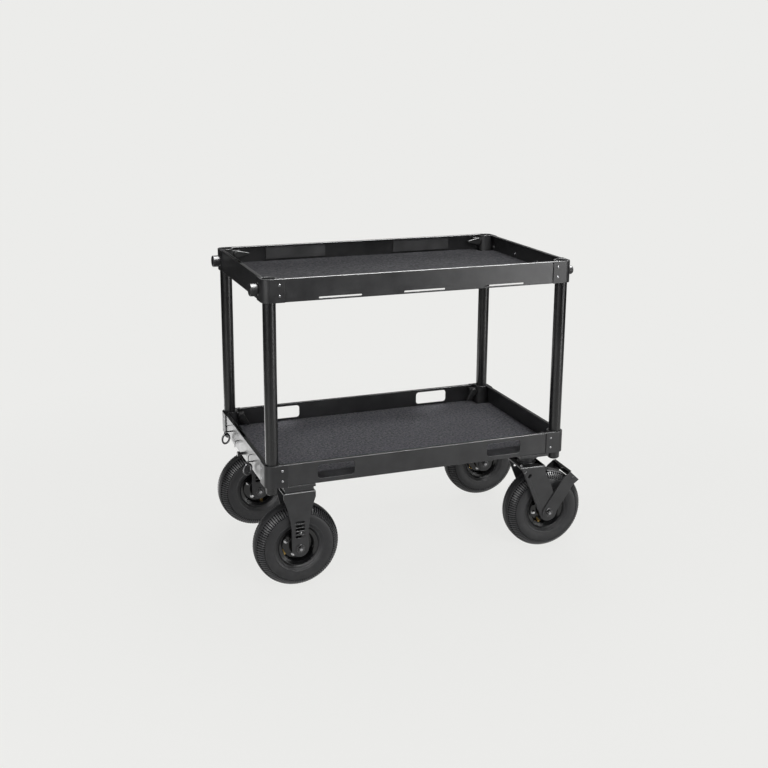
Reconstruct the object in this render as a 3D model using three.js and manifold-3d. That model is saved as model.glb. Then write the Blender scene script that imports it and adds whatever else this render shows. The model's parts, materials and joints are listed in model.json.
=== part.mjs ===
// Two-tier camera cart on pneumatic casters: two sheet-metal trays on four round posts,
// fixed casters on the left end, braked swivel casters on the right end.
// Millimetres. X runs along the cart, Y across it (the back is positive), Z up from the floor.
import * as THREE from "three";
import { mergeVertices } from "three/addons/utils/BufferGeometryUtils.js";
import Module from "manifold-3d";

const wasm = await Module();
wasm.setup();

// Clearances
const seatGap = 0.3; // between pieces that are bolted or laid face to face
const runGap = 0.5; // round a shaft, a post or a hub that moves
const overrun = 2; // how far a cutting solid passes the face it cuts

// Trays
const trayLength = 980;
const trayWidth = 590;
const trayDepth = 68;
const tierRise = 550; // underside of the lower tray to underside of the upper one
const plateSheet = 3;
const bendRadius = 2; // outside of a folded edge
const rimWidth = 12.5; // turned-in flanges along the top and the bottom of a plate
const panSheet = 2;
const carpetThickness = 3;
const upperPanLift = 12; // underside of the upper tray to its floor pan
const carpetInset = 2;

// Strap slots in the upper side plates
const strapSlotLength = 130;
const strapSlotHeight = 5;
const strapSlotRise = 7.5; // centre above the underside of the tray
const strapSlotPitch = 260;

// Hand holes in the lower side plates
const handHoleLength = 115;
const handHoleHeight = 42;
const handHoleRise = 35;
const handHoleOffset = 275; // each side of the middle
const handHoleRadius = 9;

// Notch in the rim of a left end plate
const notchWidth = 14;

// Stubs on the upper left corner blocks, pegs on the upper right ones
const stubRadius = 18.5;
const stubLength = 25;
const stubNeckRadius = 14;
const stubNeckLength = 4;
const stubChamfer = 2.5;
const stubRise = 32; // centre above the underside of the tray
const fittingInset = 27; // from the axis of the post toward the middle of the cart
const pegRadius = 14.5;
const pegLength = 28;
const pegRound = 7;
const pegRise = 30;

// Raised cover panels inside the back side plate of the upper tray
const coverLength = 205;
const coverThickness = 6;
const coverEndGap = 162.5; // from the end of the tray
const coverOffset = trayLength / 2 - coverEndGap - coverLength / 2; // each side of the middle
const coverBottomGap = 5; // above the carpet
const coverRimGap = 2; // below the turned-in rim

// Corner blocks
const socketRadius = 25;
const flangeThickness = 2.5;
const flangeReach = 66; // from the corner of the tray
const clampRise = 48; // lever axis above the underside of the tray
const earLength = 22; // clamping ears past the socket
const earThickness = 8;
const earHeight = 22;
const clampSlit = 2;
const slitOverEar = 3; // how far the slit runs past the ears in the socket wall

// Clamp levers
const leverHubRadius = 12;
const leverTipRadius = 5;
const leverReach = 34;
const leverThickness = 10;
const leverBevel = 1.5;
const studRadius = 4;
const studTail = 3; // past the outer ear
const upperLeverAngle = 0; // degrees below level, toward the middle of the tray
const lowerLeverAngle = 50;

// Posts
const postRadius = 19;
const postHead = 6; // top of the post below the top of the upper tray
const postFoot = 25; // foot below the underside of the lower tray
const footChamfer = 4;
const headChamfer = 1;

// Pull rings on the left end of the lower tray
const ringRadius = 16;
const ringWire = 3.4;
const ringTurn = 58; // degrees that a hanging ring is turned off the plate
const ringOffset = 147; // each side of the middle
const ringPlateGap = 3.9;
const eyeRadius = 6.5;
const eyeWire = 2;
const eyeRise = 31; // centre of the eye above the underside of the tray
const eyeStemRadius = 2.2;
const latchRadius = 8;
const latchNeckRadius = 5;
const latchLength = 18;
const latchNeckLength = 10;
const latchRise = 12;

// Wheels
const wheelRadius = 130;
const tyreWidth = 85;
const treadBand = 24; // flat middle of the tread
const bulgeShares = [
  [0.15, 0.94],
  [0.5, 1],
  [0.84, 0.78],
]; // sidewall: height from the rim's flange to the tread, and half width
const barrelRadius = 51.5;
const barrelWall = 3;
const rimFlangeRadius = 61;
const rimFlangeThickness = 2.7;
const rimHalfWidth = 32;
const rimDiscThickness = 6;
const rimDish = 9; // how far the disc stands out at the hub
const hubRadius = 21;
const axleRadius = 7.5;
const axleHeadRadius = 9.5;
const axleHeadThickness = 6;
const axleWasherRadius = 14;
const axleWasherThickness = 2;

// Forks
const forkSheet = 5;
const edgeInset = 2; // outer leg inside the long side of the tray

// Fixed casters
const fixedInset = 77; // axle from the axes of the posts toward the middle
const fixedForkGap = 96;
const fixedCrownRise = 48; // top of the crown above the tread
const fixedMountHeight = 22; // crown to the underside of the lower tray
const fixedForkLength = 98;
const fixedShoulder = 18; // square part of a leg below the crown
const fixedLegEnd = 26; // round end of a leg
const fixedLegTaper = 60; // the taper ends this far above the axle
const fixedTaperShares = [0.35, 0.65]; // bend of the taper, out from the leg's end and up to its shoulder
const fixedPlateThickness = 8;
const ventCount = 5;
const ventLength = 30;
const ventHeight = 8;
const ventPitch = 11.3;
const ventRise = 61; // middle of the vents above the axle

// Swivel casters
const kingpinInset = 79; // from the axes of the posts toward the middle
const trail = 58; // kingpin to axle
const swivelForkGap = 104;
const swivelCrownRise = 30; // top of the crown above the tread
const swivelCrown = 6;
const swivelForkLength = 84;
const swivelLegEnd = 30;
const swivelShoulder = 22;
const swivelTaperEnd = 22; // the front edge meets the round end this far above the axle
const swivelTaperShares = [0.45, 0.76];
const swivelTurn = -3; // degrees at rest
const swivelPlateLength = 100;
const swivelPlateWidth = 110;
const swivelPlateThickness = 9;
const raceRadius = 39;
const raceHeight = 11;
const neckRadius = 25;
const kingpinRadius = 8;
const kingpinNutRadius = 14;
const kingpinNutThickness = 8;
const legRibWidth = 11;
const legRibHeight = 2;
const legRibInset = 1; // from the rear edge of the leg
const legRibEnds = 20; // from each end of that edge
const legHoleLength = 16;
const legHoleHeight = 10;
const legHoleSlant = 45; // degrees
const legHoleDrop = 30; // below the crown
const legHoleX = -12; // from the kingpin

// Brakes
const armSheet = 4;
const armEnd = 22; // round end on the axle
const armFrontAngle = 46.5; // degrees above level, corner below the head on the front edge
const armFrontDrop = 10; // that corner inside the tread
const armBackAngle = 67; // degrees above level, corner below the head on the back edge
const armBackDrop = 7;
const pivotAngle = 53.6; // degrees above level
const pivotRise = 6; // axis of the pivot above the tread
const pivotRadius = 4;
const shoeClear = 2; // tread to shoe with the brake off
const shoeThickness = 9.5;
const shoeWidth = 60;
const shoeStartAngle = 45.2; // degrees above level
const shoeEndAngle = 51.2; // degrees above level
const pedalSheet = 3;
const pedalToeAngle = 45; // degrees above level
const pedalToeRise = 14; // top of the plate above the tread
const pedalHeelAngle = 61.5; // degrees above level
const pedalHeelRise = 19;
const pedalTab = 4;
const cheekSheet = 3;
const cheekRadius = 9;
const cheekShare = 0.85; // of the pedal's length from its toe

// Smoothness
const roundSteps = 20;
const tyreSteps = 28;
const rimSteps = 16;
const smallSteps = 8;
const arcSteps = 2; // per quarter of a rounded outline, twice that on a leg

// Places that follow from the sizes
const degree = Math.PI / 180;
const fixedForkRise = wheelRadius + fixedCrownRise; // heights on a caster are from its axle
const swivelForkRise = wheelRadius + swivelCrownRise;
const lowerTrayHeight = wheelRadius + fixedForkRise + fixedMountHeight;
const upperTrayHeight = lowerTrayHeight + tierRise;
const postX = trayLength / 2 - socketRadius;
const postY = trayWidth / 2 - socketRadius;
const fixedAxleX = fixedInset - postX;
const kingpinX = postX - kingpinInset;
const boreRadius = postRadius + runGap;
const plateFaceX = trayLength / 2 - flangeThickness - seatGap;
const plateFaceY = trayWidth / 2 - flangeThickness - seatGap;
const panHalfX = plateFaceX - plateSheet - seatGap;
const panHalfY = plateFaceY - plateSheet - seatGap;
const notchX = postX - socketRadius - seatGap;
const notchY = postY - socketRadius - seatGap;
const lowerPanLift = plateSheet + seatGap;
const earHalf = clampSlit / 2 + earThickness;
const leverX = -socketRadius - earLength / 2; // from the axis of the post
const eyeRoot = plateFaceX - plateSheet / 2; // fittings on an end plate start inside its sheet
const ringX = plateFaceX + ringPlateGap + (ringRadius + ringWire) * Math.sin(ringTurn * degree);
const fixedForkHalf = fixedForkGap / 2 + forkSheet;
const swivelForkHalf = swivelForkGap / 2 + forkSheet;
const fixedAxleY = trayWidth / 2 - edgeInset - fixedForkHalf;
const swivelAxleY = trayWidth / 2 - edgeInset / 2 - swivelForkHalf;
const mountTop = lowerTrayHeight - wheelRadius - seatGap;
const armFace = swivelForkHalf + seatGap;
const flatGrowth = 1 / Math.cos(Math.PI / tyreSteps); // keeps the flats inside a tyre clear of its rim

// Materials
const paint = (color, roughness) => new THREE.MeshStandardMaterial({ color, roughness, metalness: 0.3 });
const blackPaint = () => paint(0x2b2b2d, 0.5);
const postPaint = () => paint(0x1f1f21, 0.4);
const glossPaint = () => paint(0x121214, 0.2);
const steel = () => new THREE.MeshStandardMaterial({ color: 0x9a9a9c, roughness: 0.35, metalness: 1 });
const cloth = () => new THREE.MeshStandardMaterial({ color: 0x4c4c50, roughness: 1, metalness: 0 });
const rubber = () => new THREE.MeshStandardMaterial({ color: 0x3a3a3d, roughness: 0.85, metalness: 0 });
const plastic = () => new THREE.MeshStandardMaterial({ color: 0x18181a, roughness: 0.55, metalness: 0 });

// Solids
function solid(geometry) {
  const plain = geometry.index ? geometry.toNonIndexed() : geometry.clone();
  plain.deleteAttribute("normal");
  plain.deleteAttribute("uv");
  const merged = mergeVertices(plain);
  return new wasm.Manifold(
    new wasm.Mesh({
      numProp: 3,
      vertProperties: merged.attributes.position.array,
      triVerts: new Uint32Array(merged.index.array),
    }),
  );
}

function geometryOf(body) {
  const mesh = body.getMesh();
  const indexed = new THREE.BufferGeometry();
  indexed.setAttribute("position", new THREE.BufferAttribute(new Float32Array(mesh.vertProperties), 3));
  indexed.setIndex(new THREE.BufferAttribute(new Uint32Array(mesh.triVerts), 1));
  return indexed;
}

const joined = (...bodies) => bodies.reduce((whole, body) => whole.add(body));
const cut = (body, ...tools) => tools.reduce((rest, tool) => rest.subtract(tool), body);

function box(x0, x1, y0, y1, z0, z1) {
  const geometry = new THREE.BoxGeometry(x1 - x0, y1 - y0, z1 - z0);
  return solid(geometry.translate((x0 + x1) / 2, (y0 + y1) / 2, (z0 + z1) / 2));
}

// A shape pushed along X or Y lies in the other two axes.
const alongX = new THREE.Matrix4().set(0, 0, 1, 0, 1, 0, 0, 0, 0, 1, 0, 0, 0, 0, 0, 1);
const alongY = new THREE.Matrix4().set(1, 0, 0, 0, 0, 0, -1, 0, 0, 1, 0, 0, 0, 0, 0, 1);

function pushed(shape, depth, curveSegments, bevel = 0) {
  const geometry = new THREE.ExtrudeGeometry(shape, {
    depth: depth - 2 * bevel,
    curveSegments,
    steps: 1,
    bevelEnabled: bevel > 0,
    bevelThickness: bevel,
    bevelSize: bevel,
    bevelOffset: -bevel,
    bevelSegments: 1,
  });
  return geometry.translate(0, 0, bevel);
}

function extrudeX(shape, x0, x1, curveSegments = 1) {
  return solid(pushed(shape, x1 - x0, curveSegments).applyMatrix4(alongX).translate(x0, 0, 0));
}

function extrudeY(shape, y0, y1, curveSegments = arcSteps, bevel = 0) {
  return solid(pushed(shape, y1 - y0, curveSegments, bevel).applyMatrix4(alongY).translate(0, y1, 0));
}

function extrudeZ(shape, z0, z1, curveSegments = 1) {
  return solid(pushed(shape, z1 - z0, curveSegments).translate(0, 0, z0));
}

function barZ(x, y, z0, z1, radius, steps = roundSteps) {
  const geometry = new THREE.CylinderGeometry(radius, radius, z1 - z0, steps);
  return solid(geometry.rotateX(Math.PI / 2).translate(x, y, (z0 + z1) / 2));
}

function barY(x, z, y0, y1, radius, steps = roundSteps) {
  const geometry = new THREE.CylinderGeometry(radius, radius, y1 - y0, steps);
  return solid(geometry.translate(x, (y0 + y1) / 2, z));
}

function barX(y, z, x0, x1, radius, steps = roundSteps) {
  const geometry = new THREE.CylinderGeometry(radius, radius, x1 - x0, steps);
  return solid(geometry.rotateZ(-Math.PI / 2).translate((x0 + x1) / 2, y, z));
}

const points = (list) => list.map(([x, y]) => new THREE.Vector2(x, y));
const outline = (list) => new THREE.Shape(points(list));

// A section of radius and place along the axis, from the axis back to the axis
function turnedX(section, y, z, steps) {
  const lathe = new THREE.LatheGeometry(points(section), steps);
  return solid(lathe.rotateZ(-Math.PI / 2).translate(0, y, z));
}

// A closed section turned round Y
function turnedRing(section, steps) {
  const ring = points(section);
  if (THREE.ShapeUtils.isClockWise(ring)) ring.reverse();
  ring.push(ring[0].clone());
  return solid(new THREE.LatheGeometry(ring, steps));
}

function slot(x, z, length, height, radius, y0, y1) {
  const right = x + length / 2 - radius;
  const left = x - length / 2 + radius;
  const top = z + height / 2 - radius;
  const bottom = z - height / 2 + radius;
  const shape = new THREE.Shape();
  shape.absarc(right, bottom, radius, -Math.PI / 2, 0, false);
  shape.absarc(right, top, radius, 0, Math.PI / 2, false);
  shape.absarc(left, top, radius, Math.PI / 2, Math.PI, false);
  shape.absarc(left, bottom, radius, Math.PI, 1.5 * Math.PI, false);
  return extrudeY(shape, y0, y1, arcSteps / 2);
}

// Two round ends and the straight edges that touch both
function linkShape(x, z, radius, reach, angle, tipRadius) {
  const lean = Math.asin((radius - tipRadius) / reach);
  const side = Math.PI / 2 - lean;
  const tipX = x + reach * Math.cos(angle);
  const tipZ = z + reach * Math.sin(angle);
  const shape = new THREE.Shape();
  shape.absarc(x, z, radius, angle + side, angle + 2 * Math.PI - side, false);
  shape.absarc(tipX, tipZ, tipRadius, angle - side, angle + side, false);
  return shape;
}

// A finished piece of the back right quarter, or its mirror image in another quarter
function node(name, body, material, sideX = 1, sideY = 1) {
  const geometry = geometryOf(body);
  geometry.scale(sideX, sideY, 1);
  if (sideX * sideY < 0) geometry.index.array.reverse();
  const flat = geometry.toNonIndexed();
  flat.computeVertexNormals();
  const mesh = new THREE.Mesh(flat, material);
  mesh.name = name;
  return mesh;
}

// Tray pieces, heights from the underside of the tray
function plateSection(face) {
  const corner = bendRadius * (1 - Math.SQRT1_2);
  return outline([
    [face, bendRadius],
    [face, trayDepth - bendRadius],
    [face - corner, trayDepth - corner],
    [face - bendRadius, trayDepth],
    [face - rimWidth, trayDepth],
    [face - rimWidth, trayDepth - plateSheet],
    [face - plateSheet, trayDepth - plateSheet],
    [face - plateSheet, plateSheet],
    [face - rimWidth, plateSheet],
    [face - rimWidth, 0],
    [face - bendRadius, 0],
    [face - corner, corner],
  ]);
}

function socketClearance(sideX, sideY) {
  return barZ(sideX * postX, sideY * postY, -overrun, trayDepth + overrun, socketRadius + seatGap);
}

function sidePlate() {
  const plate = extrudeX(plateSection(plateFaceY), -postX, postX);
  return cut(plate, socketClearance(1, 1), socketClearance(-1, 1));
}

function endPlate() {
  const plate = extrudeY(plateSection(plateFaceX), -postY, postY);
  return cut(plate, socketClearance(1, 1), socketClearance(1, -1));
}

function throughSide(x, z, length, height, radius) {
  return slot(x, z, length, height, radius, plateFaceY - plateSheet - overrun, plateFaceY + overrun);
}

function upperSidePlate() {
  const slots = [-1, 0, 1].map((place) =>
    throughSide(place * strapSlotPitch, strapSlotRise, strapSlotLength, strapSlotHeight, strapSlotHeight / 2),
  );
  return cut(sidePlate(), ...slots);
}

function lowerSidePlate() {
  const holes = [-1, 1].map((side) =>
    throughSide(side * handHoleOffset, handHoleRise, handHoleLength, handHoleHeight, handHoleRadius),
  );
  return cut(sidePlate(), ...holes);
}

function rimNotch() {
  const inner = plateFaceX - rimWidth - overrun;
  const bottom = trayDepth - plateSheet - overrun;
  return box(inner, plateFaceX - plateSheet, -notchWidth / 2, notchWidth / 2, bottom, trayDepth + overrun);
}

// Fittings on the end face of a corner block, about the axis of its post
const fittingSeat = socketRadius - flangeThickness / 2;

function stub() {
  const neckEnd = socketRadius + stubNeckLength;
  const tip = socketRadius + stubLength;
  const section = [
    [0, fittingSeat],
    [stubNeckRadius, fittingSeat],
    [stubNeckRadius, neckEnd],
    [stubRadius, neckEnd],
    [stubRadius, tip - stubChamfer],
    [stubRadius - stubChamfer, tip],
    [0, tip],
  ];
  return turnedX(section, -fittingInset, stubRise, rimSteps);
}

function peg() {
  const tip = socketRadius + pegLength;
  const corner = pegRound * (1 - Math.SQRT1_2);
  const section = [
    [0, fittingSeat],
    [pegRadius, fittingSeat],
    [pegRadius, tip - pegRound],
    [pegRadius - corner, tip - corner],
    [pegRadius - pegRound, tip],
    [0, tip],
  ];
  return turnedX(section, -fittingInset, pegRise, rimSteps);
}

// Eye for a pull ring, on a stem over its top
function ringEye(side) {
  const eye = new THREE.TorusGeometry(eyeRadius, eyeWire, 6, smallSteps);
  eye.rotateX(Math.PI / 2).rotateZ(ringTurn * degree).translate(ringX, side * ringOffset, eyeRise);
  const stemTop = eyeRise + eyeRadius;
  return joined(solid(eye), barX(side * ringOffset, stemTop, eyeRoot, ringX, eyeStemRadius, smallSteps));
}

// A ring hangs in its eye by the inside of its top.
const ringRise = eyeRise - eyeRadius + eyeWire + ringWire + seatGap - ringRadius;

function pullRing(side) {
  const ring = new THREE.TorusGeometry(ringRadius, ringWire, 6, rimSteps);
  ring.rotateX(Math.PI / 2).rotateZ(Math.PI / 2 + ringTurn * degree);
  return solid(ring.translate(ringX, side * ringOffset, ringRise));
}

function latchStud() {
  const tip = plateFaceX + latchLength;
  const neckEnd = plateFaceX + latchNeckLength;
  const section = [
    [0, eyeRoot],
    [latchNeckRadius, eyeRoot],
    [latchNeckRadius, neckEnd],
    [latchRadius, neckEnd],
    [latchRadius, tip],
    [0, tip],
  ];
  return turnedX(section, 0, latchRise, smallSteps);
}

const upperLeftPlate = () => cut(endPlate(), rimNotch());
const lowerLeftPlate = () => cut(joined(endPlate(), ringEye(1), ringEye(-1), latchStud()), rimNotch());

// A sheet that fills the tray and leaves its four corners to the blocks
function floorSheet(inset, bottom, thickness) {
  const longX = panHalfX - inset;
  const longY = panHalfY - inset;
  const shortX = notchX - inset;
  const shortY = notchY - inset;
  const shape = outline([
    [-shortX, -longY],
    [shortX, -longY],
    [shortX, -shortY],
    [longX, -shortY],
    [longX, shortY],
    [shortX, shortY],
    [shortX, longY],
    [-shortX, longY],
    [-shortX, shortY],
    [-longX, shortY],
    [-longX, -shortY],
    [-shortX, -shortY],
  ]);
  return extrudeZ(shape, bottom, bottom + thickness);
}

function upperPan() {
  const foot = plateSheet + seatGap;
  const top = upperPanLift + panSheet;
  return joined(
    floorSheet(0, upperPanLift, panSheet),
    box(-panHalfX, -panHalfX + panSheet, -notchY, notchY, foot, top),
    box(panHalfX - panSheet, panHalfX, -notchY, notchY, foot, top),
  );
}

// Doublers under the lower pan meet the casters between the turned-in flanges.
function doubler(x, half, axleY, halfY, side) {
  const inner = side * (axleY - halfY);
  const outer = side * (plateFaceY - rimWidth - seatGap);
  const top = lowerPanLift + panSheet / 2;
  return box(x - half, x + half, Math.min(inner, outer), Math.max(inner, outer), 0, top);
}

function lowerPan() {
  const doublers = [1, -1].flatMap((side) => [
    doubler(fixedAxleX, fixedForkLength / 2, fixedAxleY, fixedForkHalf, side),
    doubler(kingpinX, swivelPlateLength / 2, swivelAxleY, swivelPlateWidth / 2, side),
  ]);
  return joined(floorSheet(0, lowerPanLift, panSheet), ...doublers);
}

const carpetBottom = (lift) => lift + panSheet + seatGap;
const carpet = (lift) => floorSheet(carpetInset, carpetBottom(lift), carpetThickness);

function coverPanel(side) {
  const face = plateFaceY - plateSheet - seatGap;
  const bottom = carpetBottom(upperPanLift) + carpetThickness + coverBottomGap;
  const top = trayDepth - plateSheet - coverRimGap;
  const middle = side * coverOffset;
  const half = coverLength / 2;
  return box(middle - half, middle + half, face - coverThickness, face, bottom, top);
}

// Corner block about the axis of its post
function cornerBlock() {
  const inner = socketRadius - flangeThickness;
  const reach = socketRadius - flangeReach;
  const earTip = -socketRadius - earLength;
  const earBottom = clampRise - earHeight / 2;
  const earTop = clampRise + earHeight / 2;
  const slitHalf = clampSlit / 2;
  const block = joined(
    barZ(0, 0, 0, trayDepth, socketRadius),
    box(reach, 0, inner, socketRadius, 0, trayDepth),
    box(inner, socketRadius, reach, 0, 0, trayDepth),
    box(earTip, 0, -earHalf, earHalf, earBottom, earTop),
  );
  return cut(
    block,
    barZ(0, 0, -overrun, trayDepth + overrun, boreRadius),
    box(earTip - overrun, 0, -slitHalf, slitHalf, earBottom - slitOverEar, earTop + slitOverEar),
    barY(leverX, clampRise, -earHalf - overrun, earHalf + overrun, studRadius + runGap, smallSteps),
  );
}

// Clamp lever about its stud
function clampLever(angle) {
  const inner = -earHalf - seatGap;
  const shape = linkShape(0, 0, leverHubRadius, leverReach, Math.PI + angle * degree, leverTipRadius);
  return joined(
    extrudeY(shape, inner - leverThickness, inner, 1.5 * arcSteps, leverBevel),
    barY(0, 0, inner - leverThickness / 2, earHalf + studTail, studRadius, smallSteps),
  );
}

// Post with its end plugs, from under the lower tray up into the upper socket
function post() {
  const bottom = lowerTrayHeight - postFoot;
  const top = upperTrayHeight + trayDepth - postHead;
  const section = [
    [0, bottom],
    [postRadius - footChamfer, bottom],
    [postRadius, bottom + footChamfer],
    [postRadius, top - headChamfer],
    [postRadius - headChamfer, top],
    [0, top],
  ];
  return solid(new THREE.LatheGeometry(points(section), roundSteps).rotateX(Math.PI / 2));
}

// Wheel pieces about the axle
function bothSides(half) {
  const other = half.map(([radius, y]) => [radius, -y]).reverse();
  return [...half, ...other];
}

function rim(forkGap) {
  const hubEnd = forkGap / 2 - runGap;
  const barrelIn = barrelRadius - barrelWall;
  const disc = rimDiscThickness / 2;
  const lip = rimHalfWidth - rimFlangeThickness;
  const half = [
    [axleRadius + runGap, hubEnd],
    [hubRadius, hubEnd],
    [hubRadius, disc + rimDish],
    [barrelIn, disc],
    [barrelIn, rimHalfWidth],
    [rimFlangeRadius, rimHalfWidth],
    [rimFlangeRadius, lip],
    [barrelRadius, lip],
  ];
  return turnedRing(bothSides(half), rimSteps);
}

function tyre() {
  const bead = rimHalfWidth - rimFlangeThickness - seatGap;
  const start = (rimFlangeRadius + seatGap) * flatGrowth;
  const wall = bulgeShares.map(([rise, width]) => [
    start + rise * (wheelRadius - start),
    width * (tyreWidth / 2),
  ]);
  const seat = (barrelRadius + seatGap) * flatGrowth;
  const half = [[seat, bead], [start, bead], ...wall, [wheelRadius, treadBand / 2]];
  return turnedRing(bothSides(half), tyreSteps);
}

function axleBolt(halfWidth) {
  const face = halfWidth + seatGap;
  const washer = face + axleWasherThickness;
  const end = washer + axleHeadThickness;
  return joined(
    barY(0, 0, -end, end, axleRadius, smallSteps),
    barY(0, 0, face, washer, axleWasherRadius, rimSteps),
    barY(0, 0, -washer, -face, axleWasherRadius, rimSteps),
    barY(0, 0, washer, end, axleHeadRadius, 6),
    barY(0, 0, -end, -washer, axleHeadRadius, 6),
  );
}

// Fixed fork about its axle: two legs under a crown, both legs vented
function fixedLeg() {
  const half = fixedForkLength / 2;
  const shoulder = fixedForkRise - fixedShoulder;
  const bendX = fixedLegEnd + (half - fixedLegEnd) * fixedTaperShares[0];
  const bendZ = fixedLegTaper + (shoulder - fixedLegTaper) * fixedTaperShares[1];
  const shape = new THREE.Shape();
  shape.moveTo(half, fixedForkRise);
  shape.lineTo(-half, fixedForkRise);
  shape.lineTo(-half, shoulder);
  shape.quadraticCurveTo(-bendX, bendZ, -fixedLegEnd, fixedLegTaper);
  shape.absarc(0, 0, fixedLegEnd, Math.PI, 2 * Math.PI, false);
  shape.lineTo(fixedLegEnd, fixedLegTaper);
  shape.quadraticCurveTo(bendX, bendZ, half, shoulder);
  return shape;
}

function fixedFork() {
  const outer = fixedForkHalf;
  const inner = outer - forkSheet;
  const half = fixedForkLength / 2;
  const legs = joined(
    extrudeY(fixedLeg(), inner, outer, 2 * arcSteps),
    extrudeY(fixedLeg(), -outer, -inner, 2 * arcSteps),
    box(-half, half, -outer, outer, fixedForkRise - forkSheet, fixedForkRise),
  );
  const vents = Array.from({ length: ventCount }, (_, index) => {
    const z = ventRise + (index - (ventCount - 1) / 2) * ventPitch;
    return slot(0, z, ventLength, ventHeight, ventHeight / 2, -outer - overrun, outer + overrun);
  });
  const bore = barY(0, 0, -outer - overrun, outer + overrun, axleRadius + seatGap, smallSteps);
  return cut(legs, ...vents, bore);
}

function fixedMount() {
  const half = fixedForkLength / 2;
  const outer = fixedForkHalf;
  const spacer = outer - forkSheet;
  const bottom = fixedForkRise + seatGap;
  return joined(
    box(-half, half, -outer, outer, mountTop - fixedPlateThickness, mountTop),
    box(-half + forkSheet, half - forkSheet, -spacer, spacer, bottom, mountTop - fixedPlateThickness / 2),
  );
}

// Swivel fork about its kingpin, heights from the axle
const rearCorner = new THREE.Vector2(-swivelForkLength / 2, swivelForkRise);
const rearSpan = new THREE.Vector2(trail, 0).distanceTo(rearCorner);
const rearTangent =
  Math.atan2(rearCorner.y, rearCorner.x - trail) + Math.acos(swivelLegEnd / rearSpan);

function swivelLeg() {
  const half = swivelForkLength / 2;
  const shoulder = swivelForkRise - swivelShoulder;
  const frontX = trail + swivelLegEnd;
  const bendX = half + (frontX - half) * swivelTaperShares[0];
  const shape = new THREE.Shape();
  shape.moveTo(half, swivelForkRise);
  shape.lineTo(rearCorner.x, rearCorner.y);
  shape.absarc(trail, 0, swivelLegEnd, rearTangent, 2 * Math.PI, false);
  shape.lineTo(frontX, swivelTaperEnd);
  shape.quadraticCurveTo(bendX, shoulder * swivelTaperShares[1], half, shoulder);
  return shape;
}

// Pressed rib along the rear edge of a leg
function legRib() {
  const end = new THREE.Vector2(Math.cos(rearTangent), Math.sin(rearTangent));
  end.multiplyScalar(swivelLegEnd).add(new THREE.Vector2(trail, 0));
  const edge = end.clone().sub(rearCorner);
  const length = edge.length();
  const along = edge.normalize();
  const inward = new THREE.Vector2(-along.y, along.x);
  const place = (run, depth) => [
    rearCorner.x + along.x * run + inward.x * depth,
    rearCorner.y + along.y * run + inward.y * depth,
  ];
  const last = length - legRibEnds - armEnd / 2;
  return outline([
    place(legRibEnds, legRibInset),
    place(last, legRibInset),
    place(last, legRibInset + legRibWidth),
    place(legRibEnds, legRibInset + legRibWidth),
  ]);
}

function legHole() {
  const half = (legHoleLength - legHoleHeight) / 2;
  const angle = legHoleSlant * degree;
  const x = legHoleX - half * Math.cos(angle);
  const z = swivelForkRise - legHoleDrop - half * Math.sin(angle);
  return linkShape(x, z, legHoleHeight / 2, 2 * half, angle, legHoleHeight / 2);
}

function swivelFork() {
  const outer = swivelForkHalf;
  const inner = outer - forkSheet;
  const half = swivelForkLength / 2;
  const crownBottom = swivelForkRise - swivelCrown;
  const ribBack = outer - forkSheet / 2;
  const fork = joined(
    extrudeY(swivelLeg(), inner, outer, 2 * arcSteps),
    extrudeY(swivelLeg(), -outer, -inner, 2 * arcSteps),
    box(-half, half, -outer, outer, crownBottom, swivelForkRise),
    extrudeY(legRib(), ribBack, outer + legRibHeight),
    extrudeY(legRib(), -outer - legRibHeight, -ribBack),
  );
  return cut(
    fork,
    extrudeY(legHole(), -outer - overrun, outer + overrun),
    barY(trail, 0, -outer - overrun, outer + overrun, axleRadius + seatGap, smallSteps),
    barZ(0, 0, crownBottom - overrun, swivelForkRise + overrun, kingpinRadius + runGap, rimSteps),
  );
}

// Mounting plate, race, neck and kingpin
function swivelMount() {
  const halfX = swivelPlateLength / 2;
  const halfY = swivelPlateWidth / 2;
  const plateBottom = mountTop - swivelPlateThickness;
  const raceBottom = plateBottom - raceHeight;
  const nutTop = swivelForkRise - swivelCrown - seatGap;
  const nutBottom = nutTop - kingpinNutThickness;
  return joined(
    box(-halfX, halfX, -halfY, halfY, plateBottom, mountTop),
    barZ(0, 0, raceBottom, plateBottom + seatGap, raceRadius),
    barZ(0, 0, swivelForkRise + seatGap, raceBottom + seatGap, neckRadius),
    barZ(0, 0, nutBottom, plateBottom, kingpinRadius, rimSteps),
    barZ(0, 0, nutBottom, nutTop, kingpinNutRadius, 6),
  );
}

// Brake pieces about the axle
const polar = (angle, reach) => [reach * Math.cos(angle * degree), reach * Math.sin(angle * degree)];
const [pivotX, pivotZ] = polar(pivotAngle, wheelRadius + pivotRise);
const [toeX, toeZ] = polar(pedalToeAngle, wheelRadius + pedalToeRise);
const [heelX, heelZ] = polar(pedalHeelAngle, wheelRadius + pedalHeelRise);

// Straight edges from the round end up to a head that is level with the pedal's plate
function armShape() {
  const frontReach = wheelRadius - armFrontDrop;
  const backReach = wheelRadius - armBackDrop;
  const frontTouch = armFrontAngle * degree - Math.acos(armEnd / frontReach);
  const backTouch = armBackAngle * degree + Math.acos(armEnd / backReach);
  const shape = new THREE.Shape();
  shape.absarc(0, 0, armEnd, backTouch, 2 * Math.PI + frontTouch, false);
  shape.lineTo(...polar(armFrontAngle, frontReach));
  shape.lineTo(toeX, toeZ);
  shape.lineTo(heelX, heelZ);
  shape.lineTo(...polar(armBackAngle, backReach));
  return shape;
}

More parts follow.
